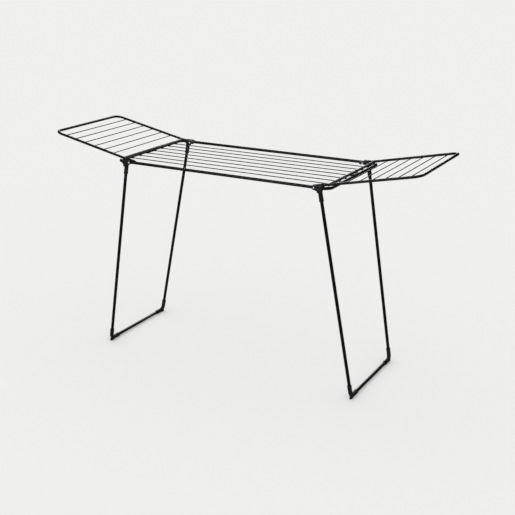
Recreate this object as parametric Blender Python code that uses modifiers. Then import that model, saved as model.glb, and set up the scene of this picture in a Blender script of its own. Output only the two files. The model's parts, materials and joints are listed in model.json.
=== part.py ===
"""A free-standing winged clothes airer, opened out for use.

The deck is a loop of round tube with seven drying wires along it.  A folding leg frame and a
folding wing are riveted to each of its ends, on one rivet at each corner.
Metres, +X along the airer, -Y the front, +Z up, the floor at Z = 0.
"""

import math

import bmesh
import bpy
from mathutils import Matrix, Vector

# Deck: the middle drying surface
RAIL_HEIGHT = 0.9115  # axis of the deck tube above the floor
DECK_HALF_WIDTH = 0.2585  # rail axis from the middle
END_BAR_X = 0.5172  # axis of the end bar from the middle
DECK_TUBE_RADIUS = 0.0065
DECK_CORNER_RADIUS = 0.030
BOW_JOINT_X = 0.478  # the end bows butt against the rails here, inside the brackets
DECK_WIRES = 7
DECK_WIRE_PITCH = 0.0592
WIRE_RADIUS = 0.002
WIRE_SLEEVE_RADIUS = 0.0031  # the thicker end of a deck wire, which the stretcher rests on
WIRE_SLEEVE_X = 0.490

# Hinges: one rivet at each corner carries a leg bracket and a wing fitting
HINGE_X = 0.453
RIVET_RADIUS = 0.0025
RIVET_HEAD_RADIUS = 0.0042
RIVET_HEAD_HEIGHT = 0.0018

# Leg frames
LEG_TOP_X = 0.4731  # leg axis at rail height
LEG_TOP_Y = 0.2547
FOOT_X = 0.6308  # leg axis at the floor bar
FOOT_Y = 0.2221
FLOOR_BAR_HEIGHT = 0.0115
LEG_RADIUS = 0.007

# Leg brackets
CHEEK = 0.003
RAIL_CLEARANCE = 0.0006
BRACKET_EYE_RADIUS = 0.0095
SOCKET_RADIUS = 0.0092
SOCKET_RIM_RADIUS = 0.0099
SOCKET_TOP = 0.012  # distances down the leg axis from rail height
SOCKET_SEAT = 0.026
SOCKET_END = 0.0565
SOCKET_RIM = 0.0050  # length of the collar round the socket's mouth
BRACKET_LOW = 0.0205  # underside of the cheeks, below the rivet
BRACKET_WAIST = 0.0135  # the cheeks narrow to the socket below this height
BRACKET_NOSE = (0.0318, 0.0025)  # centre of the rounded outboard end of the cheeks
BRACKET_NOSE_RADIUS = 0.0075

# Feet: an elbow on each leg, with a rubber pad under its heel
ELBOW_RADIUS = 0.0092
ELBOW_BEND = 0.022
ELBOW_LEG_ARM = 0.051
ELBOW_BAR_ARM = 0.055
ELBOW_SEAT = 0.034
HEEL_TOE = 0.0050  # how far the heel reaches past the leg axis
HEEL_BACK = 0.018
HEEL_HALF_WIDTH = 0.0052
HEEL_HEIGHT = 0.010
HEEL_BEVEL = 0.0018
ELBOW_RIM = 0.005  # length of the collar round each mouth
ELBOW_RIM_STEP = 0.0007
PAD_HEIGHT = 0.0018
PAD_INSET = 0.0008

# Wings
WING_TIP_X = 0.8872
WING_HALF_WIDTH = 0.2401
WING_TUBE_RADIUS = 0.0055
WING_ANGLE = math.radians(11.8)
WING_LIFT = 0.0020  # wing plane above the rivet
WING_CORNER_RADIUS = 0.035
WING_WIRES = 6
WING_WIRE_PITCH = 0.0532
WING_WIRE_DROP = 0.003  # the wires butt against the tube, this far below its axis
STRETCHER_X = 0.5020
STRETCHER_RADIUS = 0.006
FITTING_RADIUS = 0.0073
FITTING_OUTER = 0.034
FITTING_SEAT = 0.0105
FITTING_TAIL = 0.019

# Wing catches: a clip on the middle of each end bar that the stretcher drops into
CATCH_HALF_LENGTH = 0.020
CATCH_WALL = 0.0018
CATCH_MOUTH_HEIGHT = 0.0012  # the jaw is open above this height over the stretcher's axis
CATCH_LIP = 0.0007  # what the jaw's flared outboard lip keeps of its wall
CATCH_WEB = 0.010  # height of the web between the ring and the jaw

TUBE_WALL = 0.001
GAP = 0.0003
CUT_MARGIN = 0.01  # how far cutters run past what they cut
BEVEL = 0.0008
TUBE_SIDES = 16
SOCKET_SIDES = 20
FINE = 5  # bevel resolution of the bent tubes
COARSE = 2  # bevel resolution of the wires
BEND_STEPS = 7

STRETCHER_HEIGHT = WIRE_SLEEVE_RADIUS + STRETCHER_RADIUS + GAP  # above the deck wires' axes

ENDS = {"right": 0.0, "left": math.pi}


def clear_scene():
    for item in list(bpy.data.objects):
        bpy.data.objects.remove(item, do_unlink=True)


def make_collection(name):
    collection = bpy.data.collections.new(name)
    bpy.context.scene.collection.children.link(collection)
    return collection


def make_material(name, colour, roughness, metallic):
    material = bpy.data.materials.new(name)
    material.use_nodes = True
    shader = material.node_tree.nodes["Principled BSDF"]
    shader.inputs["Base Color"].default_value = (*colour, 1.0)
    shader.inputs["Roughness"].default_value = roughness
    shader.inputs["Metallic"].default_value = metallic
    return material


clear_scene()
AIRER = make_collection("clothes_airer")
CUTTERS = make_collection("cutters")
DECK_PAINT = make_material("deck_black", (0.022, 0.022, 0.024), 0.38, 0.0)
LEG_PAINT = make_material("leg_black", (0.025, 0.025, 0.027), 0.40, 0.0)
WING_PAINT = make_material("wing_black", (0.023, 0.023, 0.025), 0.38, 0.0)
STRETCHER_COAT = make_material("stretcher_grey", (0.075, 0.075, 0.077), 0.45, 0.0)
BRACKET_PLASTIC = make_material("bracket_plastic", (0.030, 0.030, 0.032), 0.55, 0.0)
FOOT_RUBBER = make_material("foot_rubber", (0.020, 0.020, 0.020), 0.80, 0.0)
RIVET_STEEL = make_material("rivet_steel", (0.72, 0.72, 0.73), 0.30, 1.0)


# Placing and shaping helpers


def add_object(name, data, material, parent=None):
    item = bpy.data.objects.new(name, data)
    AIRER.objects.link(item)
    item.parent = parent
    if material and not data.materials:
        data.materials.append(material)
    return item


def smooth(mesh):
    mesh.shade_smooth()
    mesh.set_sharp_from_angle(angle=math.radians(35))


def add_mesh(name, shape, material, parent=None):
    """A bmesh made into an object."""
    bmesh.ops.recalc_face_normals(shape, faces=shape.faces)
    mesh = bpy.data.meshes.new(name)
    shape.to_mesh(mesh)
    shape.free()
    smooth(mesh)
    return add_object(name, mesh, material, parent)


def as_cutter(item):
    """Moves a shape out of the airer, for Boolean modifiers to use."""
    AIRER.objects.unlink(item)
    CUTTERS.objects.link(item)
    item.hide_render = True
    item.display_type = "WIRE"
    return item


def combine(item, other, operation):
    modifier = item.modifiers.new(f"{operation.lower()}_{other.name}", "BOOLEAN")
    modifier.operation = operation
    modifier.object = other
    modifier.solver = "EXACT"


def join(item, suffix, shape, parent):
    """Adds a bmesh shape to the item's solid."""
    extra = as_cutter(add_mesh(f"{item.name}_{suffix}", shape, None, parent))
    combine(item, extra, "UNION")


def cut(item, suffix, shape, parent):
    """Takes a bmesh shape out of the item's solid."""
    tool = as_cutter(add_mesh(f"{item.name}_{suffix}", shape, None, parent))
    combine(item, tool, "DIFFERENCE")


def cylinder_between(start, end, radius, sides=TUBE_SIDES, capped=True):
    """A bmesh cylinder from one point to the other."""
    start = Vector(start)
    run = Vector(end) - start
    turn = Vector((0, 0, 1)).rotation_difference(run).to_matrix().to_4x4()
    place = Matrix.Translation(start + run / 2) @ turn
    shape = bmesh.new()
    bmesh.ops.create_cone(
        shape,
        cap_ends=capped,
        segments=sides,
        radius1=radius,
        radius2=radius,
        depth=run.length,
        matrix=place,
    )
    return shape


def box_between(low, high, bevel=0.0):
    """A bmesh box from its lowest to its highest corner, its edges rounded."""
    low = Vector(low)
    high = Vector(high)
    shape = bmesh.new()
    place = Matrix.Translation((low + high) / 2) @ Matrix.Diagonal((*(high - low), 1.0))
    bmesh.ops.create_cube(shape, size=1.0, matrix=place)
    if bevel:
        bmesh.ops.bevel(
            shape, geom=shape.edges[:], offset=bevel, segments=2, profile=0.5, affect="EDGES"
        )
    return shape


def plate(outline, low_y, high_y, bevel=0.0):
    """A bmesh plate: an outline of (x, z) points, from one y to another."""
    shape = bmesh.new()
    corners = [shape.verts.new((x, low_y, z)) for x, z in outline]
    face = shape.faces.new(corners)
    made = bmesh.ops.extrude_face_region(shape, geom=[face])
    moved = [part for part in made["geom"] if isinstance(part, bmesh.types.BMVert)]
    bmesh.ops.translate(shape, verts=moved, vec=(0, high_y - low_y, 0))
    if bevel:
        rims = [edge for edge in shape.edges if edge.verts[0].co.y == edge.verts[1].co.y]
        bmesh.ops.bevel(shape, geom=rims, offset=bevel, segments=1, affect="EDGES")
    return shape


def arc(centre, radius, first, last, steps):
    """(x, z) points round a centre, angles in degrees from +x towards +z."""
    points = []
    for step in range(steps + 1):
        angle = math.radians(first + (last - first) * step / steps)
        points.append((centre[0] + radius * math.cos(angle), centre[1] + radius * math.sin(angle)))
    return points


def rounded_path(corners, radius):
    """The points of a route whose inner corners are bent to the radius."""
    corners = [Vector(corner) for corner in corners]
    path = [corners[0]]
    for before, corner, after in zip(corners, corners[1:], corners[2:]):
        inward = (before - corner).normalized()
        onward = (after - corner).normalized()
        half = inward.angle(onward) / 2
        reach = radius / math.tan(half)
        centre = corner + (inward + onward).normalized() * radius / math.sin(half)
        first = corner + inward * reach - centre
        last = corner + onward * reach - centre
        sweep = first.angle(last)
        for step in range(BEND_STEPS + 1):
            share = step / BEND_STEPS
            spoke = first * math.sin((1 - share) * sweep) + last * math.sin(share * sweep)
            path.append(centre + spoke / math.sin(sweep))
    path.append(corners[-1])
    return path


def curve_object(name, path, radius, resolution, material, parent, capped, widths=None):
    curve = bpy.data.curves.new(name, "CURVE")
    curve.dimensions = "3D"
    curve.twist_mode = "MINIMUM"
    curve.bevel_depth = radius
    curve.bevel_resolution = resolution
    curve.use_fill_caps = capped
    spline = curve.splines.new("POLY")
    spline.points.add(len(path) - 1)
    for index, point in enumerate(path):
        spline.points[index].co = (*point, 1.0)
        spline.points[index].radius = widths[index] if widths else 1.0
    return add_object(name, curve, material, parent)


def rod(name, path, radius, material, parent=None, resolution=COARSE, widths=None):
    """A solid round rod or wire along a path."""
    return curve_object(name, path, radius, resolution, material, parent, True, widths)


def bent_tube(name, path, radius, material, parent=None):
    """A hollow tube along a path, open at both ends."""
    item = curve_object(name, path, radius, FINE, material, parent, False)
    wall = item.modifiers.new("wall", "SOLIDIFY")
    wall.thickness = TUBE_WALL
    wall.offset = -1.0
    return item


def straight_tube(name, start, end, radius, material, parent=None):
    """A hollow straight tube, open at both ends."""
    shape = cylinder_between(start, end, radius, capped=False)
    item = add_mesh(name, shape, material, parent)
    wall = item.modifiers.new("wall", "SOLIDIFY")
    wall.thickness = TUBE_WALL
    wall.offset = -1.0
    return item


def swept_mesh(name, path, radius, material, parent=None):
    """A solid bent rod as a mesh, for Booleans."""
    guide = curve_object(name + "_guide", path, radius, FINE, None, parent, True)
    bpy.context.view_layer.update()
    graph = bpy.context.evaluated_depsgraph_get()
    mesh = bpy.data.meshes.new_from_object(guide.evaluated_get(graph))
    bpy.data.objects.remove(guide, do_unlink=True)
    shape = bmesh.new()
    shape.from_mesh(mesh)
    bpy.data.meshes.remove(mesh)
    bmesh.ops.remove_doubles(shape, verts=shape.verts, dist=1e-6)
    return add_mesh(name, shape, material, parent)


def turned(name, profile, material, parent=None, sides=TUBE_SIDES):
    """A turned solid about local Z: (radius, z) points down its outer side, top to bottom."""
    shape = bmesh.new()
    points = [shape.verts.new((radius, 0, z)) for radius, z in profile]
    for first, second in zip(points, points[1:]):
        shape.edges.new((first, second))
    mesh = bpy.data.meshes.new(name)
    shape.to_mesh(mesh)
    shape.free()
    item = add_object(name, mesh, material, parent)
    screw = item.modifiers.new("turn", "SCREW")
    screw.steps = sides
    screw.render_steps = sides
    screw.use_merge_vertices = True
    screw.merge_threshold = 0.00001
    screw.use_smooth_shade = True
    return item


# The deck


def rivet_hole(x, sign_y, height=0.0):
    """A cutter along Y on a rivet's axis, at the front (-1) or the rear (+1)."""
    near = sign_y * (WING_HALF_WIDTH - FITTING_RADIUS - CUT_MARGIN)
    far = sign_y * (DECK_HALF_WIDTH + DECK_TUBE_RADIUS + CHEEK + CUT_MARGIN)
    return cylinder_between((x, near, height), (x, far, height), RIVET_RADIUS + GAP, 12)


def build_rail(name, sign_y):
    y = sign_y * DECK_HALF_WIDTH
    reach = BOW_JOINT_X - GAP
    start = (-reach, y, RAIL_HEIGHT)
    rail = straight_tube(name, start, (reach, y, RAIL_HEIGHT), DECK_TUBE_RADIUS, DECK_PAINT)
    for end, x in (("left", -HINGE_X), ("right", HINGE_X)):
        cut(rail, f"{end}_hole", rivet_hole(x, sign_y, RAIL_HEIGHT), None)


def build_end_bow(end):
    side = math.cos(ENDS[end])
    corners = [
        (side * BOW_JOINT_X, -DECK_HALF_WIDTH, RAIL_HEIGHT),
        (side * END_BAR_X, -DECK_HALF_WIDTH, RAIL_HEIGHT),
        (side * END_BAR_X, DECK_HALF_WIDTH, RAIL_HEIGHT),
        (side * BOW_JOINT_X, DECK_HALF_WIDTH, RAIL_HEIGHT),
    ]
    path = rounded_path(corners, DECK_CORNER_RADIUS)
    bent_tube(f"{end}_end_bow", path, DECK_TUBE_RADIUS, DECK_PAINT)


def build_deck_wire(number):
    y = (number - (DECK_WIRES + 1) / 2) * DECK_WIRE_PITCH
    reach = END_BAR_X - DECK_TUBE_RADIUS - GAP
    thick = WIRE_SLEEVE_RADIUS / WIRE_RADIUS
    stations = [
        (-reach, thick),
        (-WIRE_SLEEVE_X, thick),
        (-WIRE_SLEEVE_X + WIRE_RADIUS, 1.0),
        (WIRE_SLEEVE_X - WIRE_RADIUS, 1.0),
        (WIRE_SLEEVE_X, thick),
        (reach, thick),
    ]
    path = [(x, y, RAIL_HEIGHT) for x, _ in stations]
    widths = [width for _, width in stations]
    rod(f"deck_wire_{number}", path, WIRE_RADIUS, DECK_PAINT, widths=widths)


def build_catch(end):
    """A clip round the end bar, with an open-topped jaw for the wing's stretcher."""
    bar = Vector((0, 0, 0))
    stretcher = Vector((STRETCHER_X - END_BAR_X, 0, STRETCHER_HEIGHT))
    ring_inner = DECK_TUBE_RADIUS + GAP
    jaw_inner = STRETCHER_RADIUS + GAP
    jaw_outer = jaw_inner + CATCH_WALL
    length = CATCH_HALF_LENGTH
    past = length + CUT_MARGIN
    place = bpy.data.objects.new(f"{end}_catch_place", None)
    AIRER.objects.link(place)
    place.rotation_euler.z = ENDS[end]
    place.location = (math.cos(ENDS[end]) * END_BAR_X, 0, RAIL_HEIGHT)

    def across(centre, radius, half_length):
        start = (centre.x, -half_length, centre.z)
        return cylinder_between(start, (centre.x, half_length, centre.z), radius, SOCKET_SIDES)

    ring = across(bar, ring_inner + CATCH_WALL, length)
    catch = add_mesh(f"{end}_wing_catch", ring, BRACKET_PLASTIC, place)
    join(catch, "jaw", across(stretcher, jaw_outer, length), place)
    web_middle = stretcher.z / 2
    web = [
        (stretcher.x, web_middle - CATCH_WEB / 4),
        (0, web_middle - CATCH_WEB / 2),
        (0, web_middle + CATCH_WEB / 2),
        (stretcher.x, stretcher.z - jaw_inner / 4),
    ]
    join(catch, "web", plate(web, -length, length), place)
    cut(catch, "bore", across(bar, ring_inner, past), place)
    cut(catch, "seat", across(stretcher, jaw_inner, past), place)
    mouth_low = stretcher.z + CATCH_MOUTH_HEIGHT
    mouth_high = mouth_low + CUT_MARGIN
    mouth_inboard = stretcher.x - jaw_outer - CUT_MARGIN
    mouth = [
        (mouth_inboard, mouth_low),
        (stretcher.x + jaw_outer - CATCH_LIP, mouth_low),
        (stretcher.x + jaw_outer, mouth_high),
        (mouth_inboard, mouth_high),
    ]
    cut(catch, "mouth", plate(mouth, -past, past), place)
    slot = WIRE_SLEEVE_RADIUS + GAP
    notch_low = (stretcher.x - jaw_outer - CUT_MARGIN, -slot, -CUT_MARGIN)
    cut(catch, "notch", box_between(notch_low, (-CATCH_WEB / 2, slot, slot)), place)


def wing_height(x):
    """Height of the wing plane above the rivet axis, at a distance from the airer's middle."""
    return WING_LIFT + (x - HINGE_X) * math.tan(WING_ANGLE)


def build_rivet(name, end, sign_y):
    """A rivet through the bracket, the rail and the wing fitting, headed at both ends."""
    outer = DECK_HALF_WIDTH + DECK_TUBE_RADIUS + RAIL_CLEARANCE + CHEEK + GAP
    inner = WING_HALF_WIDTH - FITTING_RADIUS - GAP
    head = RIVET_HEAD_RADIUS
    dome = RIVET_HEAD_HEIGHT
    profile = [
        (0, outer + dome),
        (head * 0.55, outer + dome * 0.88),
        (head * 0.86, outer + dome * 0.5),
        (head, outer),
        (RIVET_RADIUS, outer),
        (RIVET_RADIUS, inner),
        (head, inner),
        (head * 0.86, inner - dome * 0.5),
        (head * 0.55, inner - dome * 0.88),
        (0, inner - dome),
    ]
    rivet = turned(name, profile, RIVET_STEEL, None, 14)
    rivet.rotation_euler.x = -sign_y * math.pi / 2
    rivet.location = (math.cos(ENDS[end]) * HINGE_X, 0, RAIL_HEIGHT)


# The leg frames, in the frame of their hinge: x outboard, z up from the rivet axis


def leg_point(sign_y, distance):
    """A point on the leg's axis, at a distance down it from rail height."""
    top = Vector((LEG_TOP_X - HINGE_X, sign_y * LEG_TOP_Y, 0))
    foot = foot_corner(sign_y)
    return top + (foot - top).normalized() * distance


def foot_corner(sign_y):
    return Vector((FOOT_X - HINGE_X, sign_y * FOOT_Y, FLOOR_BAR_HEIGHT - RAIL_HEIGHT))


def leg_length():
    return (foot_corner(1) - leg_point(1, 0)).length


def build_leg(name, sign_y, hinge):
    start = leg_point(sign_y, SOCKET_SEAT + GAP)
    end = leg_point(sign_y, leg_length() - ELBOW_SEAT - GAP)
    straight_tube(name, start, end, LEG_RADIUS, LEG_PAINT, hinge)


def build_floor_bar(name, hinge):
    reach = FOOT_Y - ELBOW_SEAT - GAP
    corner = foot_corner(0)
    start = (corner.x, -reach, corner.z)
    straight_tube(name, start, (corner.x, reach, corner.z), LEG_RADIUS, LEG_PAINT, hinge)


def build_leg_bracket(name, sign_y, hinge):
    """Two cheeks beside the rail, a block under it that stops the leg, and the leg's socket."""
    half = DECK_TUBE_RADIUS + RAIL_CLEARANCE
    outer = sign_y * (DECK_HALF_WIDTH + half + CHEEK)
    inner = sign_y * (DECK_HALF_WIDTH - half - CHEEK)
    waist_x = leg_point(sign_y, BRACKET_WAIST).x
    socket_x = leg_point(sign_y, BRACKET_LOW).x
    outline = (
        arc((0, 0), BRACKET_EYE_RADIUS, 95, 285, 10)
        + [(waist_x - SOCKET_RIM_RADIUS, -BRACKET_WAIST)]
        + [(socket_x - SOCKET_RADIUS + BEVEL, -BRACKET_LOW)]
        + [(socket_x + SOCKET_RADIUS - BEVEL, -BRACKET_LOW)]
        + [(waist_x + SOCKET_RIM_RADIUS, -BRACKET_WAIST)]
        + arc(BRACKET_NOSE, BRACKET_NOSE_RADIUS, -40, 85, 6)
    )
    bracket = add_mesh(name, plate(outline, inner, outer, BEVEL), BRACKET_PLASTIC, hinge)
    mouth = leg_point(sign_y, SOCKET_END)
    top = leg_point(sign_y, SOCKET_TOP)
    join(bracket, "socket", cylinder_between(top, mouth, SOCKET_RADIUS, SOCKET_SIDES), hinge)
    rim_top = leg_point(sign_y, SOCKET_END - SOCKET_RIM)
    rim_low = leg_point(sign_y, SOCKET_END + GAP)
    rim = cylinder_between(rim_top, rim_low, SOCKET_RIM_RADIUS, SOCKET_SIDES)
    join(bracket, "rim", rim, hinge)
    seat = leg_point(sign_y, SOCKET_SEAT)
    past = leg_point(sign_y, SOCKET_END + CUT_MARGIN)
    bore = cylinder_between(seat, past, LEG_RADIUS + GAP, SOCKET_SIDES)
    cut(bracket, "bore", bore, hinge)
    clear_low = BRACKET_EYE_RADIUS + CUT_MARGIN
    clear_high = 2 * clear_low
    clear_out = BRACKET_NOSE[0] + clear_low
    rail_room = [
        (-clear_low, clear_high),
        (clear_out, clear_high),
        (clear_out, -half),
        (BRACKET_EYE_RADIUS + BEVEL, -half),
        (BRACKET_EYE_RADIUS + BEVEL, -BRACKET_WAIST - BEVEL),
        (-clear_low, -BRACKET_WAIST - BEVEL),
    ]
    room_low = sign_y * (DECK_HALF_WIDTH - half)
    room_high = sign_y * (DECK_HALF_WIDTH + half)
    cut(bracket, "channel", plate(rail_room, room_low, room_high), hinge)
    cut(bracket, "eye", rivet_hole(0, sign_y), hinge)


def build_foot(name, sign_y, hinge):
    """A plastic elbow from the leg to the floor bar, with a heel under its bend."""
    corner = foot_corner(sign_y)
    up_leg = (leg_point(sign_y, 0) - corner).normalized()
    along_bar = Vector((0, -sign_y, 0))
    leg_end = corner + up_leg * ELBOW_LEG_ARM
    bar_end = corner + along_bar * ELBOW_BAR_ARM
    path = rounded_path([leg_end, corner, bar_end], ELBOW_BEND)
    foot = swept_mesh(name, path, ELBOW_RADIUS, BRACKET_PLASTIC, hinge)
    arms = (("leg", up_leg, ELBOW_LEG_ARM), ("bar", along_bar, ELBOW_BAR_ARM))
    rim_radius = ELBOW_RADIUS + ELBOW_RIM_STEP
    for label, way, arm in arms:
        low = corner + way * (arm - ELBOW_RIM)
        high = corner + way * (arm + GAP)
        join(foot, f"{label}_rim", cylinder_between(low, high, rim_radius, SOCKET_SIDES), hinge)
    floor = -RAIL_HEIGHT
    heel_low = floor + PAD_HEIGHT + GAP
    ends = sorted((corner.y + sign_y * HEEL_TOE, corner.y - sign_y * HEEL_BACK))
    heel_near = (corner.x - HEEL_HALF_WIDTH, ends[0], heel_low)
    heel_far = (corner.x + HEEL_HALF_WIDTH, ends[1], heel_low + HEEL_HEIGHT)
    join(foot, "heel", box_between(heel_near, heel_far, HEEL_BEVEL), hinge)
    for label, way, arm in arms:
        low = corner + way * ELBOW_SEAT
        high = corner + way * (arm + CUT_MARGIN)
        bore = cylinder_between(low, high, LEG_RADIUS + GAP, SOCKET_SIDES)
        cut(foot, f"{label}_bore", bore, hinge)
    pad_half = HEEL_HALF_WIDTH - PAD_INSET
    pad = box_between(
        (corner.x - pad_half, ends[0] + PAD_INSET, floor),
        (corner.x + pad_half, ends[1] - PAD_INSET, floor + PAD_HEIGHT),
        BEVEL,
    )
    add_mesh(name + "_pad", pad, FOOT_RUBBER, hinge)


# The wings, in the frame of their hinge


def wing_point(x, y, drop=0.0):
    """A point on the wing, x from the airer's middle, at a distance square to its plane."""
    down = Vector((math.sin(WING_ANGLE), 0, -math.cos(WING_ANGLE))) * drop
    return Vector((x - HINGE_X, y, wing_height(x))) + down


def build_wing_tube(name, hinge):
    along = math.cos(WING_ANGLE)
    start_x = HINGE_X + (FITTING_SEAT + GAP) * along
    half = WING_HALF_WIDTH
    corners = [
        wing_point(start_x, -half),
        wing_point(WING_TIP_X, -half),
        wing_point(WING_TIP_X, half),
        wing_point(start_x, half),
    ]
    path = rounded_path(corners, WING_CORNER_RADIUS)
    bent_tube(name, path, WING_TUBE_RADIUS, WING_PAINT, hinge)


def build_wing_wire(name, number, hinge):
    x = WING_TIP_X - number * WING_WIRE_PITCH
    reach = WING_HALF_WIDTH - math.hypot(WING_TUBE_RADIUS, WIRE_RADIUS / 2) - GAP
    path = [wing_point(x, -reach, WING_WIRE_DROP), wing_point(x, reach, WING_WIRE_DROP)]
    rod(name, path, WIRE_RADIUS, WING_PAINT, hinge)


def build_stretcher(name, hinge):
    reach = WING_HALF_WIDTH - WING_TUBE_RADIUS - GAP
    x = STRETCHER_X - HINGE_X
    path = [(x, -reach, STRETCHER_HEIGHT), (x, reach, STRETCHER_HEIGHT)]
    rod(name, path, STRETCHER_RADIUS, STRETCHER_COAT, hinge, 4)


def build_wing_fitting(name, sign_y, hinge):
    """A turned plastic end on the wing tube, with the rivet's hole through it."""
    bore = WING_TUBE_RADIUS + GAP
    profile = [
        (0, FITTING_SEAT),
        (bore, FITTING_SEAT),
        (bore, FITTING_OUTER),
        (FITTING_RADIUS - 0.0006, FITTING_OUTER),
        (FITTING_RADIUS, FITTING_OUTER - 0.001),
        (FITTING_RADIUS, -0.006),
        (FITTING_RADIUS * 0.86, -0.012),
        (FITTING_RADIUS * 0.62, -FITTING_TAIL + 0.001),
        (FITTING_RADIUS * 0.45, -FITTING_TAIL),
        (0, -FITTING_TAIL),
    ]
    fitting = turned(name, profile, BRACKET_PLASTIC, hinge)
    fitting.rotation_euler.y = math.pi / 2 - WING_ANGLE
    fitting.location = wing_point(HINGE_X, sign_y * WING_HALF_WIDTH)
    cut(fitting, "eye", rivet_hole(0, sign_y), hinge)


# The assembly


def hinge_empty(name, end):
    empty = bpy.data.objects.new(name, None)
    AIRER.objects.link(empty)
    empty.location = (math.cos(ENDS[end]) * HINGE_X, 0, RAIL_HEIGHT)
    empty.rotation_euler.z = ENDS[end]
    return empty


def face_name(end, sign_y):
    """Front or rear in the airer, for a side of a hinge frame."""
    return "rear" if sign_y * math.cos(ENDS[end]) > 0 else "front"


def build_end(end):
    legs = hinge_empty(f"{end}_leg_hinge", end)
    wing = hinge_empty(f"{end}_wing_hinge", end)
    for sign_y in (-1, 1):
        face = face_name(end, sign_y)
        build_leg(f"{end}_{face}_leg", sign_y, legs)
        build_leg_bracket(f"{end}_{face}_leg_bracket", sign_y, legs)
        build_foot(f"{end}_{face}_foot", sign_y, legs)
        build_wing_fitting(f"{end}_{face}_wing_fitting", sign_y, wing)
    build_floor_bar(f"{end}_floor_bar", legs)
    build_wing_tube(f"{end}_wing_tube", wing)
    build_stretcher(f"{end}_wing_stretcher", wing)
    for number in range(1, WING_WIRES + 1):
        build_wing_wire(f"{end}_wing_wire_{number}", number, wing)


def build_deck():
    build_rail("front_rail", -1)
    build_rail("rear_rail", 1)
    for number in range(1, DECK_WIRES + 1):
        build_deck_wire(number)
    for end in ENDS:
        build_end_bow(end)
        build_catch(end)
        for sign_y, face in ((-1, "front"), (1, "rear")):
            build_rivet(f"{end}_{face}_rivet", end, sign_y)


build_deck()
for end_name in ENDS:
    build_end(end_name)
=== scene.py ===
"""The look of the folding winged clothes airer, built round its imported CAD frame."""

import json
import math
import random

import bmesh
import bpy
from mathutils import Matrix, Vector, noise


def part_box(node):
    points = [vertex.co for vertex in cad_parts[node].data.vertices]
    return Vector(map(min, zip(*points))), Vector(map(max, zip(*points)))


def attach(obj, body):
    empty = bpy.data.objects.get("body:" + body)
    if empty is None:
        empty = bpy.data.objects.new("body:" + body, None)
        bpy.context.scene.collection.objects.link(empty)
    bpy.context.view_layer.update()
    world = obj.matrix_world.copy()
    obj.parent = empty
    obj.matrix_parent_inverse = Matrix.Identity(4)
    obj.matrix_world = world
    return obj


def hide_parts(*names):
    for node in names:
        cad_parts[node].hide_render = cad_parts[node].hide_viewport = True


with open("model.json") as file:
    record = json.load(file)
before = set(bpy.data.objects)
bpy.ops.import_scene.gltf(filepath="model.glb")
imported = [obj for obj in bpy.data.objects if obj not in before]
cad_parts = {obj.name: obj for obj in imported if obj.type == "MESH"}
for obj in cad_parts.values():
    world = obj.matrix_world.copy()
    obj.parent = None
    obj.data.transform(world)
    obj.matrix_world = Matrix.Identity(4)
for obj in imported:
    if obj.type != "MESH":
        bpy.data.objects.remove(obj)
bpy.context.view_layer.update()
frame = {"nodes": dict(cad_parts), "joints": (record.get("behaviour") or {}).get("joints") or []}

# The hinge lines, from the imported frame
JOINTS = {joint["name"]: Vector(joint["pos_m"]) for joint in frame["joints"]}
HINGE_X = JOINTS["right_leg_fold"].x
RAIL_HEIGHT = JOINTS["right_leg_fold"].z
ENDS = {"right": 1, "left": -1}
FACES = {"front": -1, "rear": 1}


def centre_of(node):
    low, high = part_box(node)
    return (low + high) / 2


def size_of(node):
    low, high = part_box(node)
    return high - low


# Sizes of the tubes and wires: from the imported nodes, or as the part has them
DECK_RADIUS = size_of("front_rail").z / 2
RAIL_END_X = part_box("front_rail")[1].x
DECK_HALF_WIDTH = centre_of("rear_rail").y
END_BAR_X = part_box("right_end_bow")[1].x - DECK_RADIUS
DECK_BEND = 0.030
LEG_RADIUS = size_of("right_floor_bar").z / 2
FLOOR_BAR_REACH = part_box("right_floor_bar")[1].y
FOOT = centre_of("right_floor_bar")
FOOT_Y = 0.2221
LEG_TOP = Vector((0.4731, 0.2547, RAIL_HEIGHT))
FOOT_CORNER = Vector((FOOT.x, FOOT_Y, FOOT.z))
WIRE_RADIUS = size_of("right_wing_wire_1").x / 2
WIRE_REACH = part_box("right_wing_wire_1")[1].y
SLEEVE_RADIUS = size_of("deck_wire_1").z / 2
SLEEVE_X = 0.490
SLEEVE_CHAMFER = 0.0010
SLEEVE_ROUND = 0.0005
SLEEVE_LIP_SHARE = 0.93
SLEEVE_TIP_SHARE = 0.86
WING_WIRES = 6
WING_RADIUS = 0.0055
WING_BEND = 0.035
WING_HALF_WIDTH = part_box("right_wing_tube")[1].y - WING_RADIUS
WING_ANGLE = math.atan2(
    centre_of("right_wing_wire_1").z - centre_of(f"right_wing_wire_{WING_WIRES}").z,
    centre_of("right_wing_wire_1").x - centre_of(f"right_wing_wire_{WING_WIRES}").x,
)
WING_ALONG = Vector((math.cos(WING_ANGLE), 0, math.sin(WING_ANGLE)))
WING_LIFT = 0.0020
WING_TIP_X = 0.8872
WING_TIP_REACH = (WING_TIP_X - HINGE_X) / math.cos(WING_ANGLE)
WING_ROOT = Vector((HINGE_X, 0, RAIL_HEIGHT + WING_LIFT))
STRETCHER = centre_of("right_wing_stretcher")
STRETCHER_RADIUS = size_of("right_wing_stretcher").z / 2
GAP = 0.0003

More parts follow.
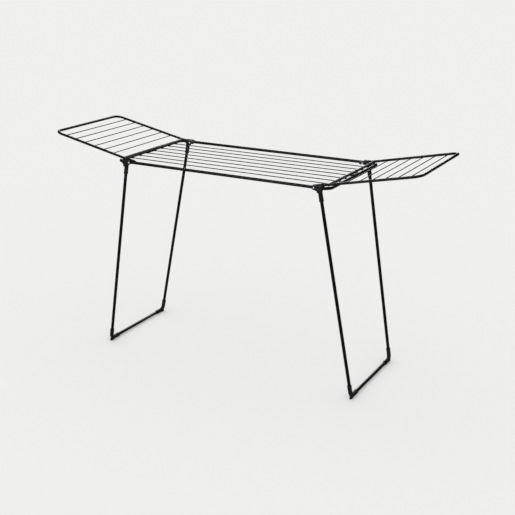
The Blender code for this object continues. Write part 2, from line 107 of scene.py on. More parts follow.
# Sizes of the mouldings
CHEEK = 0.003
RAIL_CLEARANCE = 0.0006
COLLAR_RISE = 0.0007
COLLAR_LENGTH = 0.005
GRIP_RISE = 0.0003
GRIP_WIDTH = 0.0016
EYE_RADIUS = 0.0095
SOCKET_RADIUS = 0.0092
SOCKET_TOP = 0.012
SOCKET_SEAT = 0.026
SOCKET_END = 0.0565
SOCKET_GRIPS = (0.0390, 0.0430, 0.0470)
NOSE = (0.0318, 0.0025)
NOSE_RADIUS = 0.0075
WAIST_DROP = 0.0135
BRACKET_DROP = 0.0205
BRACKET_TAPER = 0.0012
POCKET_ENDS = ((0.0155, 0.0012), (0.0300, 0.0024))
POCKET_RADIUS = 0.0036
POCKET_DEPTH = 0.0007
ELBOW_RADIUS = 0.0092
ELBOW_GRIPS = (0.0105, 0.0145)
ELBOW_BEND = 0.022
ELBOW_SEAT = 0.034
ELBOW_LEG_ARM = 0.051
ELBOW_BAR_ARM = 0.055
HEEL_HALF_WIDTH = 0.0052
HEEL_MARGIN = 0.0008
HEEL_HEIGHT = 0.010
PAD_GROOVE_PITCH = 0.0036
PAD_GROOVE_HALF = 0.0005
FITTING_RADIUS = 0.0073
FITTING_SEAT = 0.0105
FITTING_OUTER = 0.034
FITTING_GROOVES = (0.0285, 0.0255, 0.0225)
FITTING_GROOVE_DEPTH = 0.0004
FITTING_TAPER_START = -0.0060
FITTING_TAPER_END = -0.0085
FITTING_TAPER_SHARE = 0.965
FITTING_TAIL = 0.019
TAIL_FULLNESS = 0.72
RIVET_RADIUS = 0.0025
RIVET_HEAD = 0.0042
RIVET_DOME = 0.0018
RIVET_LIP = 0.0002
CATCH_HALF_LENGTH = 0.020
CATCH_WALL = 0.0018
OVERCUT = 0.01

# How finely the pieces are drawn
SHARP_ANGLE = math.radians(38)
DECK_SIDES = 40
WING_SIDES = 36
WIRE_SIDES = 18
WIRE_STEPS = 40
WING_WIRE_STEPS = 24
RIVET_STEPS = 7

# How the grain of the finishes is spread
PATCH_SPREAD = (0.35, 0.65)
SHEEN_SPREAD = (0.3, 0.7)
BUMP_DEPTH = 0.0002
GRAIN_SHARE = 0.5

# How far from perfect the wires are, and how big and how uneven the welds are
WIRE_SWAY = 0.00022
WIRE_HALF_WAVES = 5.3
WIRE_SAG = 0.00045
WING_WIRE_BOW = 0.00025
WING_WIRE_SAG = 0.0003
WELD_SINK = 0.0002
DECK_BEAD_MARGIN = 0.0012
DECK_BEAD_RADIUS = 0.0024
STRETCHER_BEAD_MARGIN = 0.0010
STRETCHER_BEAD_RADIUS = 0.0026
STRETCHER_BEAD_RISE = 0.0010
WIRE_BEAD_MARGIN = 0.0013
BEAD_SWELL = 0.16
BEAD_LUMPS = 1.9
BEAD_RIPPLE = 0.03
BEAD_RIPPLES = 9

# Materials


def base_material(name, colour, roughness, metallic, specular):
    material = bpy.data.materials.new(name)
    material.use_nodes = True
    shader = material.node_tree.nodes["Principled BSDF"]
    shader.inputs["Base Color"].default_value = (*colour, 1)
    shader.inputs["Roughness"].default_value = roughness
    shader.inputs["Metallic"].default_value = metallic
    shader.inputs["Specular IOR Level"].default_value = specular
    return material


def noise_node(tree, scale, detail, coordinates):
    node = tree.nodes.new("ShaderNodeTexNoise")
    node.inputs["Scale"].default_value = scale
    node.inputs["Detail"].default_value = detail
    tree.links.new(coordinates, node.inputs["Vector"])
    return node


def ramp_node(tree, factor, low, high, low_colour, high_colour):
    node = tree.nodes.new("ShaderNodeValToRGB")
    node.color_ramp.elements[0].position = low
    node.color_ramp.elements[0].color = (*low_colour, 1)
    node.color_ramp.elements[1].position = high
    node.color_ramp.elements[1].color = (*high_colour, 1)
    tree.links.new(factor, node.inputs["Fac"])
    return node


def range_node(tree, factor, low, high):
    node = tree.nodes.new("ShaderNodeMapRange")
    node.inputs["From Min"].default_value = SHEEN_SPREAD[0]
    node.inputs["From Max"].default_value = SHEEN_SPREAD[1]
    node.inputs["To Min"].default_value = low
    node.inputs["To Max"].default_value = high
    tree.links.new(factor, node.inputs["Value"])
    return node


def grained(name, dark, light, roughness, specular, grain, bump, metallic=0.0, patches=14.0):
    """A finish whose colour and sheen drift in soft patches, with a fine surface grain."""
    material = base_material(name, dark, roughness[0], metallic, specular)
    tree = material.node_tree
    shader = tree.nodes["Principled BSDF"]
    where = tree.nodes.new("ShaderNodeTexCoord").outputs["Object"]
    patch = noise_node(tree, scale=patches, detail=3.0, coordinates=where)
    fine = noise_node(tree, scale=grain, detail=2.0, coordinates=where)
    colour = ramp_node(tree, patch.outputs["Fac"], *PATCH_SPREAD, dark, light)
    tree.links.new(colour.outputs["Color"], shader.inputs["Base Color"])
    mixed = tree.nodes.new("ShaderNodeMath")
    mixed.operation = "ADD"
    mixed.use_clamp = True
    centred = tree.nodes.new("ShaderNodeMath")
    centred.operation = "MULTIPLY_ADD"
    centred.inputs[1].default_value = GRAIN_SHARE
    centred.inputs[2].default_value = -GRAIN_SHARE / 2
    tree.links.new(fine.outputs["Fac"], centred.inputs[0])
    tree.links.new(patch.outputs["Fac"], mixed.inputs[0])
    tree.links.new(centred.outputs["Value"], mixed.inputs[1])
    sheen = range_node(tree, mixed.outputs["Value"], roughness[0], roughness[1])
    tree.links.new(sheen.outputs["Result"], shader.inputs["Roughness"])
    relief = tree.nodes.new("ShaderNodeBump")
    relief.inputs["Strength"].default_value = bump
    relief.inputs["Distance"].default_value = BUMP_DEPTH
    tree.links.new(fine.outputs["Fac"], relief.inputs["Height"])
    tree.links.new(relief.outputs["Normal"], shader.inputs["Normal"])
    return material


def coat(name, dark, light, roughness, specular):
    """A satin powder coat on steel."""
    return grained(name, dark, light, roughness, specular, grain=900, bump=0.25)


LOOKS = {
    # Black coat of the deck's tubes and wires
    "deck_paint": coat(
        "deck_coat",
        dark=(0.004, 0.004, 0.0045),
        light=(0.007, 0.007, 0.0075),
        roughness=(0.30, 0.40),
        specular=0.40,
    ),
    # Black coat of the legs and floor bars
    "leg_paint": coat(
        "leg_coat",
        dark=(0.003, 0.003, 0.0035),
        light=(0.006, 0.006, 0.0065),
        roughness=(0.32, 0.42),
        specular=0.35,
    ),
    # Black coat of the wings' tubes and wires
    "wing_paint": coat(
        "wing_coat",
        dark=(0.004, 0.004, 0.0045),
        light=(0.007, 0.007, 0.0075),
        roughness=(0.30, 0.40),
        specular=0.40,
    ),
    # Black coat of the wings' stretchers with painted sheen: the base colour is a lighter grey than the
    # other black coats, standing in for light reflected along the stretcher
    "stretcher_coat": coat(
        "stretcher_coat",
        dark=(0.034, 0.034, 0.035),
        light=(0.046, 0.046, 0.047),
        roughness=(0.34, 0.44),
        specular=0.45,
    ),
    # Matt black moulded plastic of the brackets, fittings, feet and catches
    "bracket_plastic": grained(
        "bracket_moulding",
        dark=(0.009, 0.009, 0.0095),
        light=(0.015, 0.015, 0.0155),
        roughness=(0.42, 0.55),
        specular=0.45,
        grain=1600,
        bump=0.35,
    ),
    # Matt black rubber of the foot pads
    "foot_rubber": grained(
        "pad_rubber",
        dark=(0.012, 0.012, 0.012),
        light=(0.020, 0.020, 0.020),
        roughness=(0.75, 0.9),
        specular=0.25,
        grain=700,
        bump=0.5,
    ),
    # Zinc plating of the rivets
    "rivet_steel": grained(
        "rivet_zinc",
        dark=(0.78, 0.79, 0.80),
        light=(0.90, 0.90, 0.90),
        roughness=(0.26, 0.38),
        specular=0.5,
        grain=2500,
        bump=0.3,
        metallic=0.45,
        patches=300,
    ),
}

# Meshes


def make_piece(name, vertices, faces, slot, body, nodes):
    mesh = bpy.data.meshes.new(name)
    mesh.from_pydata([tuple(vertex) for vertex in vertices], [], faces)
    mesh.validate()
    mesh.update()
    finish_piece(name, mesh, slot, body, nodes)


def finish_piece(name, mesh, slot, body, nodes):
    mesh.materials.clear()
    mesh.materials.append(LOOKS[slot])
    mesh.shade_smooth()
    mesh.set_sharp_from_angle(angle=SHARP_ANGLE)
    piece = bpy.data.objects.new(name, mesh)
    bpy.context.scene.collection.objects.link(piece)
    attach(piece, body)
    if nodes:
        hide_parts(*nodes)


def rounded_path(corners, radius, steps):
    """The points of a route whose inner corners are bent to the radius."""
    path = [corners[0]]
    for before, corner, after in zip(corners, corners[1:], corners[2:]):
        inward = (before - corner).normalized()
        onward = (after - corner).normalized()
        half = inward.angle(onward) / 2
        reach = radius / math.tan(half)
        centre = corner + (inward + onward).normalized() * radius / math.sin(half)
        first = corner + inward * reach - centre
        last = corner + onward * reach - centre
        sweep = first.angle(last)
        for step in range(steps + 1):
            share = step / steps
            spoke = first * math.sin((1 - share) * sweep) + last * math.sin(share * sweep)
            path.append(centre + spoke / math.sin(sweep))
    path.append(corners[-1])
    return path


def swept(path, radii, sides):
    """Vertices and faces of a closed round bar along a path, with no twist, its ends capped."""
    ways = []
    for index in range(len(path)):
        before = path[max(index - 1, 0)]
        after = path[min(index + 1, len(path) - 1)]
        ways.append((after - before).normalized())
    across = ways[0].orthogonal().normalized()
    vertices, faces = [], []
    for index, (point, way, radius) in enumerate(zip(path, ways, radii)):
        if index:
            across = (ways[index - 1].rotation_difference(way) @ across).normalized()
            across = (across - way * across.dot(way)).normalized()
        other = way.cross(across)
        for side in range(sides):
            angle = 2 * math.pi * side / sides
            vertices.append(point + (across * math.cos(angle) + other * math.sin(angle)) * radius)
    for ring in range(len(path) - 1):
        for side in range(sides):
            a = ring * sides + side
            b = ring * sides + (side + 1) % sides
            faces.append((a, b, b + sides, a + sides))
    faces.append(tuple(range(sides - 1, -1, -1)))
    last = (len(path) - 1) * sides
    faces.append(tuple(range(last, last + sides)))
    return vertices, faces


def round_ends(path, radius, dome, steps=3):
    """The path and radii of a bar whose two ends are rounded over by a dome of that length."""
    first = (path[1] - path[0]).normalized()
    last = (path[-2] - path[-1]).normalized()
    head, head_radii, tail, tail_radii = [], [], [], []
    for step in range(steps + 1):
        angle = math.pi / 2 * step / (steps + 1)
        depth = dome * (1 - math.cos(math.pi / 2 - angle))
        width = radius - dome * (1 - math.cos(angle)) if dome < radius else radius * math.cos(angle)
        head.append(path[0] + first * (dome * (1 - math.sin(angle))))
        head_radii.append(width)
        tail.append(path[-1] + last * (dome * (1 - math.sin(angle))))
        tail_radii.append(width)
    middle = path[1:-1]
    return (
        head[::-1] + middle + tail,
        head_radii[::-1] + [radius] * len(middle) + tail_radii,
    )


def bar(name, path, radius, slot, body, node, sides, dome=0.0006):
    """The piece of one round bar along a path, its ends rounded over by the dome."""
    route, radii = round_ends(path, radius, dome)
    vertices, faces = swept(route, radii, sides)
    make_piece(name, vertices, faces, slot, body, [node])


def mirrored(mesh, name, side, sign):
    """A copy of a mesh made for the right rear corner, moved to another corner."""
    copy = mesh.copy()
    copy.name = name
    copy.transform(Matrix.Diagonal((side, sign, 1, 1)))
    if side * sign < 0:
        copy.flip_normals()
    return copy


def shape_cylinder(start, end, radius, sides=64):
    run = end - start
    turn = Vector((0, 0, 1)).rotation_difference(run).to_matrix().to_4x4()
    shape = bmesh.new()
    bmesh.ops.create_cone(
        shape,
        cap_ends=True,
        segments=sides,
        radius1=radius,
        radius2=radius,
        depth=run.length,
        matrix=Matrix.Translation((start + end) / 2) @ turn,
    )
    return shape


def shape_box(low, high, bevel=0.0):
    low, high = Vector(low), Vector(high)
    shape = bmesh.new()
    place = Matrix.Translation((low + high) / 2) @ Matrix.Diagonal((*(high - low), 1.0))
    bmesh.ops.create_cube(shape, size=1.0, matrix=place)
    if bevel:
        bmesh.ops.bevel(
            shape, geom=shape.edges[:], offset=bevel, segments=4, profile=0.5, affect="EDGES"
        )
    return shape


def shape_plate(outline, low_y, high_y, bevel=0.0):
    """A plate in the plane of x and z, outline points in metres from the hinge."""
    shape = bmesh.new()
    corners = [shape.verts.new((HINGE_X + x, low_y, RAIL_HEIGHT + z)) for x, z in outline]
    face = shape.faces.new(corners)
    made = bmesh.ops.extrude_face_region(shape, geom=[face])
    moved = [part for part in made["geom"] if isinstance(part, bmesh.types.BMVert)]
    bmesh.ops.translate(shape, verts=moved, vec=(0, high_y - low_y, 0))
    if bevel:
        rims = [edge for edge in shape.edges if edge.verts[0].co.y == edge.verts[1].co.y]
        bmesh.ops.bevel(shape, geom=rims, offset=bevel, segments=3, profile=0.5, affect="EDGES")
    return shape


def shape_swept(path, radii, sides):
    vertices, faces = swept(path, radii, sides)
    shape = bmesh.new()
    made = [shape.verts.new(vertex) for vertex in vertices]
    for face in faces:
        shape.faces.new([made[index] for index in face])
    return shape


def shape_turned(profile, place, sides=48):
    """A turned solid: (radius, z) points from top to bottom, starting and ending on the axis."""
    shape = bmesh.new()
    rings = []
    for radius, height in profile:
        if radius < 1e-7:
            rings.append([shape.verts.new((0, 0, height))])
            continue
        ring = []
        for side in range(sides):
            angle = 2 * math.pi * side / sides
            ring.append(shape.verts.new((radius * math.cos(angle), radius * math.sin(angle), height)))
        rings.append(ring)
    for upper, lower in zip(rings, rings[1:]):
        for side in range(sides):
            after = (side + 1) % sides
            if len(upper) == 1:
                shape.faces.new((upper[0], lower[side], lower[after]))
            elif len(lower) == 1:
                shape.faces.new((upper[side], lower[0], upper[after]))
            else:
                shape.faces.new((upper[side], lower[side], lower[after], upper[after]))
    shape.transform(place)
    return shape


def mesh_of(shape, name):
    bmesh.ops.recalc_face_normals(shape, faces=shape.faces)
    mesh = bpy.data.meshes.new(name)
    shape.to_mesh(mesh)
    shape.free()
    return mesh


def formed(name, adds, cuts, voxel=0.0, keep=1.0, rounds=3):
    """One mesh of the shapes joined and cut, its edges softened if a voxel size is given."""
    helpers = []
    for index, shape in enumerate(adds + cuts):
        helper = bpy.data.objects.new(f"{name}_{index}", mesh_of(shape, f"{name}_{index}"))
        bpy.context.scene.collection.objects.link(helper)
        helpers.append(helper)
    base = helpers[0]
    for index, helper in enumerate(helpers[1:], 1):
        step = base.modifiers.new(f"step_{index}", "BOOLEAN")
        step.operation = "UNION" if index < len(adds) else "DIFFERENCE"
        step.object = helper
        step.solver = "EXACT"
    if voxel:
        skin = base.modifiers.new("skin", "REMESH")
        skin.mode = "VOXEL"
        skin.voxel_size = voxel
        soft = base.modifiers.new("soft", "SMOOTH")
        soft.factor = 0.5
        soft.iterations = rounds
        thin = base.modifiers.new("thin", "DECIMATE")
        thin.ratio = keep
    bpy.context.view_layer.update()
    graph = bpy.context.evaluated_depsgraph_get()
    mesh = bpy.data.meshes.new_from_object(base.evaluated_get(graph))
    for helper in helpers:
        bpy.data.objects.remove(helper, do_unlink=True)
    mesh.name = name
    return mesh


def arc(centre, radius, first, last, steps):
    points = []
    for step in range(steps + 1):
        angle = math.radians(first + (last - first) * step / steps)
        points.append((centre[0] + radius * math.cos(angle), centre[1] + radius * math.sin(angle)))
    return points


def nugget(shape, place, way, length, radius, seed):
    """A weld bead: an uneven ellipsoid at a place, long in the given way."""
    made = bmesh.ops.create_icosphere(shape, subdivisions=3, radius=1.0)
    turn = Vector((0, 0, 1)).rotation_difference(way)
    own_noise = Vector((seed * 3.1, seed * 1.7, 0))
    for vert in made["verts"]:
        spot = vert.co.copy()
        swell = 1 + BEAD_SWELL * noise.noise(spot * BEAD_LUMPS + own_noise)
        ripple = 1 + BEAD_RIPPLE * math.sin(BEAD_RIPPLES * spot.z + seed)
        spot = Vector((spot.x * radius, spot.y * radius, spot.z * length)) * swell * ripple
        vert.co = place + turn @ spot


def weld_piece(name, slot, body, spots):
    """All the welds of one body: (place, way, length, radius) each."""
    shape = bmesh.new()
    for index, (place, way, length, radius) in enumerate(spots):
        nugget(shape, place, way, length, radius, index + 1)
    finish_piece(name, mesh_of(shape, name), slot, body, ())


# Deck


def add_rails():
    for face, sign in FACES.items():
        y = sign * DECK_HALF_WIDTH
        ends = [Vector((-RAIL_END_X, y, RAIL_HEIGHT)), Vector((RAIL_END_X, y, RAIL_HEIGHT))]
        bar(f"{face}_rail_tube", ends, DECK_RADIUS, "deck_paint", "frame", f"{face}_rail", DECK_SIDES)


def add_end_bows():
    """The bent tube that closes the deck at each end."""
    for end, side in ENDS.items():
        start = side * (RAIL_END_X + 2 * GAP)
        corners = [
            Vector((start, -DECK_HALF_WIDTH, RAIL_HEIGHT)),
            Vector((side * END_BAR_X, -DECK_HALF_WIDTH, RAIL_HEIGHT)),
            Vector((side * END_BAR_X, DECK_HALF_WIDTH, RAIL_HEIGHT)),
            Vector((start, DECK_HALF_WIDTH, RAIL_HEIGHT)),
        ]
        route = rounded_path(corners, DECK_BEND, steps=18)
        bar(f"{end}_bow_tube", route, DECK_RADIUS, "deck_paint", "frame", f"{end}_end_bow", DECK_SIDES)


def add_deck_wire(node):
    """A deck wire, not quite straight, with a sleeve at each end. Returns its two welds."""
    y = centre_of(node).y
    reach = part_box(node)[1].x
    neck = SLEEVE_X - WIRE_RADIUS
    right_end = [
        (neck, WIRE_RADIUS),
        (SLEEVE_X, SLEEVE_RADIUS * SLEEVE_LIP_SHARE),
        (SLEEVE_X + SLEEVE_CHAMFER, SLEEVE_RADIUS),
        (reach - SLEEVE_ROUND, SLEEVE_RADIUS),
        (reach, SLEEVE_RADIUS * SLEEVE_TIP_SHARE),
    ]
    path = [Vector((-x, y, RAIL_HEIGHT)) for x, radius in reversed(right_end)]
    radii = [radius for x, radius in reversed(right_end)]
    phase = random.uniform(0, 2 * math.pi)
    lean = random.uniform(0.5, 1.0)
    for step in range(1, WIRE_STEPS):
        share = step / WIRE_STEPS
        x = -neck + 2 * neck * share
        fade = math.sin(math.pi * share)
        sway = WIRE_SWAY * fade * math.sin(WIRE_HALF_WAVES * math.pi * share + phase)
        sag = -WIRE_SAG * fade * lean
        path.append(Vector((x, y + sway, RAIL_HEIGHT + sag)))
        radii.append(WIRE_RADIUS)
    path += [Vector((x, y, RAIL_HEIGHT)) for x, radius in right_end]
    radii += [radius for x, radius in right_end]
    vertices, faces = swept(path, radii, WIRE_SIDES)
    make_piece(f"{node}_rod", vertices, faces, "deck_paint", "frame", [node])
    welds = []
    for side in (-1, 1):
        place = Vector((side * (reach + WELD_SINK), y, RAIL_HEIGHT - WELD_SINK))
        welds.append((place, Vector((0, 1, 0)), SLEEVE_RADIUS + DECK_BEAD_MARGIN, DECK_BEAD_RADIUS))
    return welds


def add_deck():
    add_rails()
    add_end_bows()
    welds = []
    for node in sorted(name for name in frame["nodes"] if name.startswith("deck_wire_")):
        welds += add_deck_wire(node)
    weld_piece("deck_weld_beads", "deck_paint", "frame", welds)


# Mouldings and rivet, each made for the right rear corner or the right end

LEG_WAY = (FOOT_CORNER - LEG_TOP).normalized()


def down_leg(distance):
    return LEG_TOP + LEG_WAY * distance


def hinge_x(distance):
    return down_leg(distance).x - HINGE_X


def rivet_mesh():
    """A rivet turned about the hinge line, with a domed head at each end."""
    outer = DECK_HALF_WIDTH + DECK_RADIUS + RAIL_CLEARANCE + CHEEK + GAP
    inner = WING_HALF_WIDTH - FITTING_RADIUS - GAP
    dome = []
    for step in range(1, RIVET_STEPS):
        angle = math.pi / 2 * step / RIVET_STEPS
        dome.append((RIVET_HEAD * math.sin(angle), RIVET_DOME * math.cos(angle)))
    profile = [(0, outer + RIVET_DOME)]
    profile += [(radius, outer + rise) for radius, rise in dome]
    profile += [
        (RIVET_HEAD, outer + RIVET_LIP),
        (RIVET_HEAD - RIVET_LIP, outer),
        (RIVET_RADIUS, outer),
        (RIVET_RADIUS, inner),
        (RIVET_HEAD - RIVET_LIP, inner),
        (RIVET_HEAD, inner - RIVET_LIP),
    ]
    profile += [(radius, inner - rise) for radius, rise in reversed(dome)]
    profile.append((0, inner - RIVET_DOME))
    place = Matrix.Translation((HINGE_X, 0, RAIL_HEIGHT)) @ Matrix.Rotation(-math.pi / 2, 4, "X")
    return mesh_of(shape_turned(profile, place), "rivet")


def bracket_mesh():
    """The leg bracket: cheeks round the rail, stop web, socket, collar and grip rings."""
    half = DECK_RADIUS + RAIL_CLEARANCE
    high_y = DECK_HALF_WIDTH + half + CHEEK
    low_y = DECK_HALF_WIDTH - half - CHEEK
    rim = SOCKET_RADIUS + COLLAR_RISE
    waist_x = hinge_x(WAIST_DROP)
    low_x = hinge_x(BRACKET_DROP)
    low_half = SOCKET_RADIUS - BRACKET_TAPER
    outline = [
        *arc((0, 0), EYE_RADIUS, 95, 275, 24),
        (0.0040, -0.0102),
        (0.0078, -0.0118),
        (waist_x - SOCKET_RADIUS, -WAIST_DROP),
        (low_x - low_half, -BRACKET_DROP),
        (low_x + low_half, -BRACKET_DROP),
        (waist_x + rim - 0.0010, -WAIST_DROP),
        (waist_x + rim + 0.0018, -0.0088),
        *arc(NOSE, NOSE_RADIUS, -48, 85, 18),
    ]
    adds = [
        shape_plate(outline, low_y, high_y, bevel=0.0009),
        shape_cylinder(down_leg(SOCKET_TOP), down_leg(SOCKET_END), SOCKET_RADIUS),
        shape_cylinder(down_leg(SOCKET_END - COLLAR_LENGTH), down_leg(SOCKET_END + GAP), rim),
    ]
    for distance in SOCKET_GRIPS:
        below = down_leg(distance + GRIP_WIDTH)
        adds.append(shape_cylinder(down_leg(distance), below, SOCKET_RADIUS + GRIP_RISE))
    clear = EYE_RADIUS + OVERCUT
    play = 0.0008
    room = [
        (-clear, 2 * clear),
        (NOSE[0] + clear, 2 * clear),
        (NOSE[0] + clear, -half),
        (EYE_RADIUS + play, -half),
        (EYE_RADIUS + play, -WAIST_DROP - play),
        (-clear, -WAIST_DROP - play),
    ]
    eye_low = Vector((HINGE_X, low_y - OVERCUT, RAIL_HEIGHT))
    eye_high = Vector((HINGE_X, high_y + OVERCUT, RAIL_HEIGHT))
    inner, outer = POCKET_ENDS
    pocket = arc(inner, POCKET_RADIUS, 90, 270, 10) + arc(outer, POCKET_RADIUS, -90, 90, 10)
    cuts = [
        shape_cylinder(down_leg(SOCKET_SEAT), down_leg(SOCKET_END + OVERCUT), LEG_RADIUS + GAP),
        shape_plate(room, DECK_HALF_WIDTH - half, DECK_HALF_WIDTH + half),
        shape_cylinder(eye_low, eye_high, RIVET_RADIUS + GAP, sides=40),
        shape_plate(pocket, high_y - POCKET_DEPTH, high_y + 0.002),
    ]
    return formed("leg_bracket", adds, cuts, voxel=0.00036, keep=0.14)


def foot_mesh():
    """The elbow from the leg to the floor bar, with a heel that stands on the rubber pad."""
    arms = ((-LEG_WAY, ELBOW_LEG_ARM), (Vector((0, -1, 0)), ELBOW_BAR_ARM))
    leg_end, bar_end = (FOOT_CORNER + way * arm for way, arm in arms)
    route = rounded_path([leg_end, FOOT_CORNER, bar_end], ELBOW_BEND, steps=20)
    adds = [shape_swept(route, [ELBOW_RADIUS] * len(route), sides=48)]
    cuts = []
    for way, arm in arms:
        collar = FOOT_CORNER + way * (arm - COLLAR_LENGTH)
        adds.append(shape_cylinder(collar, FOOT_CORNER + way * (arm + GAP), ELBOW_RADIUS + COLLAR_RISE))
        for back in ELBOW_GRIPS:
            ring = FOOT_CORNER + way * (arm - back)
            adds.append(shape_cylinder(ring, ring + way * GRIP_WIDTH, ELBOW_RADIUS + GRIP_RISE))
        seat = FOOT_CORNER + way * ELBOW_SEAT
        cuts.append(shape_cylinder(seat, FOOT_CORNER + way * (arm + OVERCUT), LEG_RADIUS + GAP))
    pad_low, pad_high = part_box("right_rear_foot_pad")
    heel_z = pad_high.z + GAP
    heel_low = (FOOT.x - HEEL_HALF_WIDTH, pad_low.y - HEEL_MARGIN, heel_z)
    heel_high = (FOOT.x + HEEL_HALF_WIDTH, pad_high.y + HEEL_MARGIN, heel_z + HEEL_HEIGHT)
    adds.append(shape_box(heel_low, heel_high, bevel=0.0018))
    return formed("foot_elbow", adds, cuts, voxel=0.00040, keep=0.14)


def pad_mesh():
    """The rubber pad, with grooves across its underside."""
    low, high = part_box("right_rear_foot_pad")
    cuts = []
    for step in range(-2, 3):
        y = (low.y + high.y) / 2 + step * PAD_GROOVE_PITCH
        groove_low = (low.x - 0.002, y - PAD_GROOVE_HALF, low.z - 0.001)
        groove_high = (high.x + 0.002, y + PAD_GROOVE_HALF, low.z + 0.0005)
        cuts.append(shape_box(groove_low, groove_high))
    return formed("foot_pad", [shape_box(low, high, bevel=0.0007)], cuts)


def fitting_mesh():
    """The wing fitting: a socket for the wing tube, grooved near its mouth, with a round tail."""
    bore = WING_RADIUS + GAP
    profile = [
        (0, FITTING_SEAT),
        (bore, FITTING_SEAT),
        (bore, FITTING_OUTER),
        (FITTING_RADIUS - 0.0006, FITTING_OUTER),
        (FITTING_RADIUS - 0.0002, FITTING_OUTER - 0.0004),
        (FITTING_RADIUS, FITTING_OUTER - 0.0010),
    ]
    groove_radius = FITTING_RADIUS - FITTING_GROOVE_DEPTH
    for groove in FITTING_GROOVES:
        profile += [
            (FITTING_RADIUS, groove + 0.0007),
            (groove_radius, groove + 0.0003),
            (groove_radius, groove - 0.0003),
            (FITTING_RADIUS, groove - 0.0007),
        ]
    tail_radius = FITTING_RADIUS * FITTING_TAPER_SHARE
    profile += [(FITTING_RADIUS, FITTING_TAPER_START), (tail_radius, FITTING_TAPER_END)]
    for step in range(1, 9):
        angle = math.pi / 2 * step / 9
        depth = FITTING_TAPER_END - (FITTING_TAIL + FITTING_TAPER_END) * math.sin(angle)
        profile.append((tail_radius * math.cos(angle) ** TAIL_FULLNESS, depth))
    profile.append((0, -FITTING_TAIL))
    place = Matrix.Translation(WING_ROOT + Vector((0, WING_HALF_WIDTH, 0)))
    place = place @ Matrix.Rotation(math.pi / 2 - WING_ANGLE, 4, "Y")
    near = Vector((HINGE_X, WING_HALF_WIDTH - 0.02, RAIL_HEIGHT))
    far = Vector((HINGE_X, WING_HALF_WIDTH + 0.02, RAIL_HEIGHT))
    hole = shape_cylinder(near, far, RIVET_RADIUS + GAP, sides=40)
    return formed("wing_fitting", [shape_turned(profile, place)], [hole])


def catch_mesh():
    """The clip round the right end bar, its jaw holding the wing's stretcher."""
    bar_centre = Vector((END_BAR_X, 0, RAIL_HEIGHT))
    jaw_centre = Vector((STRETCHER.x, 0, STRETCHER.z))
    ring_inner = DECK_RADIUS + GAP
    jaw_inner = STRETCHER_RADIUS + GAP
    jaw_outer = jaw_inner + CATCH_WALL
    reach = Vector((0, CATCH_HALF_LENGTH, 0))
    past = Vector((0, CATCH_HALF_LENGTH + OVERCUT, 0))

    def across(centre, radius, half):
        return shape_cylinder(centre - half, centre + half, radius)

    def local(x, z):
        return (x - HINGE_X, z)

    jaw_x = jaw_centre.x
    rise = jaw_centre.z - RAIL_HEIGHT
    web = [
        local(jaw_x, rise / 2 - 0.0025),
        local(END_BAR_X, rise / 2 - 0.005),
        local(END_BAR_X, rise / 2 + 0.005),
        local(jaw_x, rise - jaw_inner / 4),
    ]
    mouth_low = rise + 0.0012
    mouth_high = mouth_low + OVERCUT
    mouth = [
        local(jaw_x - jaw_outer - OVERCUT, mouth_low),
        local(jaw_x + jaw_outer - 0.0007, mouth_low),
        local(jaw_x + jaw_outer, mouth_high),
        local(jaw_x - jaw_outer - OVERCUT, mouth_high),
    ]
    adds = [
        across(bar_centre, ring_inner + CATCH_WALL, reach),
        across(jaw_centre, jaw_outer, reach),
        shape_plate(web, -CATCH_HALF_LENGTH, CATCH_HALF_LENGTH),
    ]
    wire_half = SLEEVE_RADIUS + GAP
    notch_low = (jaw_x - jaw_outer - OVERCUT, -wire_half, RAIL_HEIGHT - OVERCUT)
    cuts = [
        across(bar_centre, ring_inner, past),
        across(jaw_centre, jaw_inner, past),
        shape_plate(mouth, -past.y, past.y),
        shape_box(notch_low, (END_BAR_X - 0.005, wire_half, RAIL_HEIGHT + wire_half)),
    ]
    return formed("wing_catch", adds, cuts, voxel=0.00034, keep=0.16, rounds=2)


RIVET_MESH = rivet_mesh()
BRACKET_MESH = bracket_mesh()
FOOT_MESH = foot_mesh()
PAD_MESH = pad_mesh()
FITTING_MESH = fitting_mesh()
CATCH_MESH = catch_mesh()


def add_catch(end):
    name = f"{end}_catch_clip"
    clip = mirrored(CATCH_MESH, name, ENDS[end], 1)
    finish_piece(name, clip, "bracket_plastic", "frame", [f"{end}_wing_catch"])


def add_corner(end, face):
    """The bracket, foot, pad, wing fitting, rivet and leg tube of one corner."""
    legs = f"{end}_legs"
    corner = f"{end}_{face}"
    for mesh, suffix, node, slot, body in (
        (BRACKET_MESH, "bracket_body", "leg_bracket", "bracket_plastic", legs),
        (FOOT_MESH, "foot_elbow", "foot", "bracket_plastic", legs),
        (PAD_MESH, "pad_block", "foot_pad", "foot_rubber", legs),
        (FITTING_MESH, "fitting_body", "wing_fitting", "bracket_plastic", f"{end}_wing"),
        (RIVET_MESH, "rivet_body", "rivet", "rivet_steel", "frame"),
    ):
        name = f"{corner}_{suffix}"
        copy = mirrored(mesh, name, ENDS[end], FACES[face])
        finish_piece(name, copy, slot, body, [f"{corner}_{node}"])
    place = Matrix.Diagonal((ENDS[end], FACES[face], 1))
    leg_length = (FOOT_CORNER - LEG_TOP).length
    top = place @ down_leg(SOCKET_SEAT + GAP)
    low = place @ down_leg(leg_length - ELBOW_SEAT - GAP)
    bar(f"{corner}_leg_tube", [top, low], LEG_RADIUS, "leg_paint", legs, f"{corner}_leg", DECK_SIDES)


def add_floor_bar(end):
    x = ENDS[end] * FOOT.x
    ends = [Vector((x, y, FOOT.z)) for y in (-FLOOR_BAR_REACH, FLOOR_BAR_REACH)]
    name = f"{end}_floor_tube"
    bar(name, ends, LEG_RADIUS, "leg_paint", f"{end}_legs", f"{end}_floor_bar", DECK_SIDES)


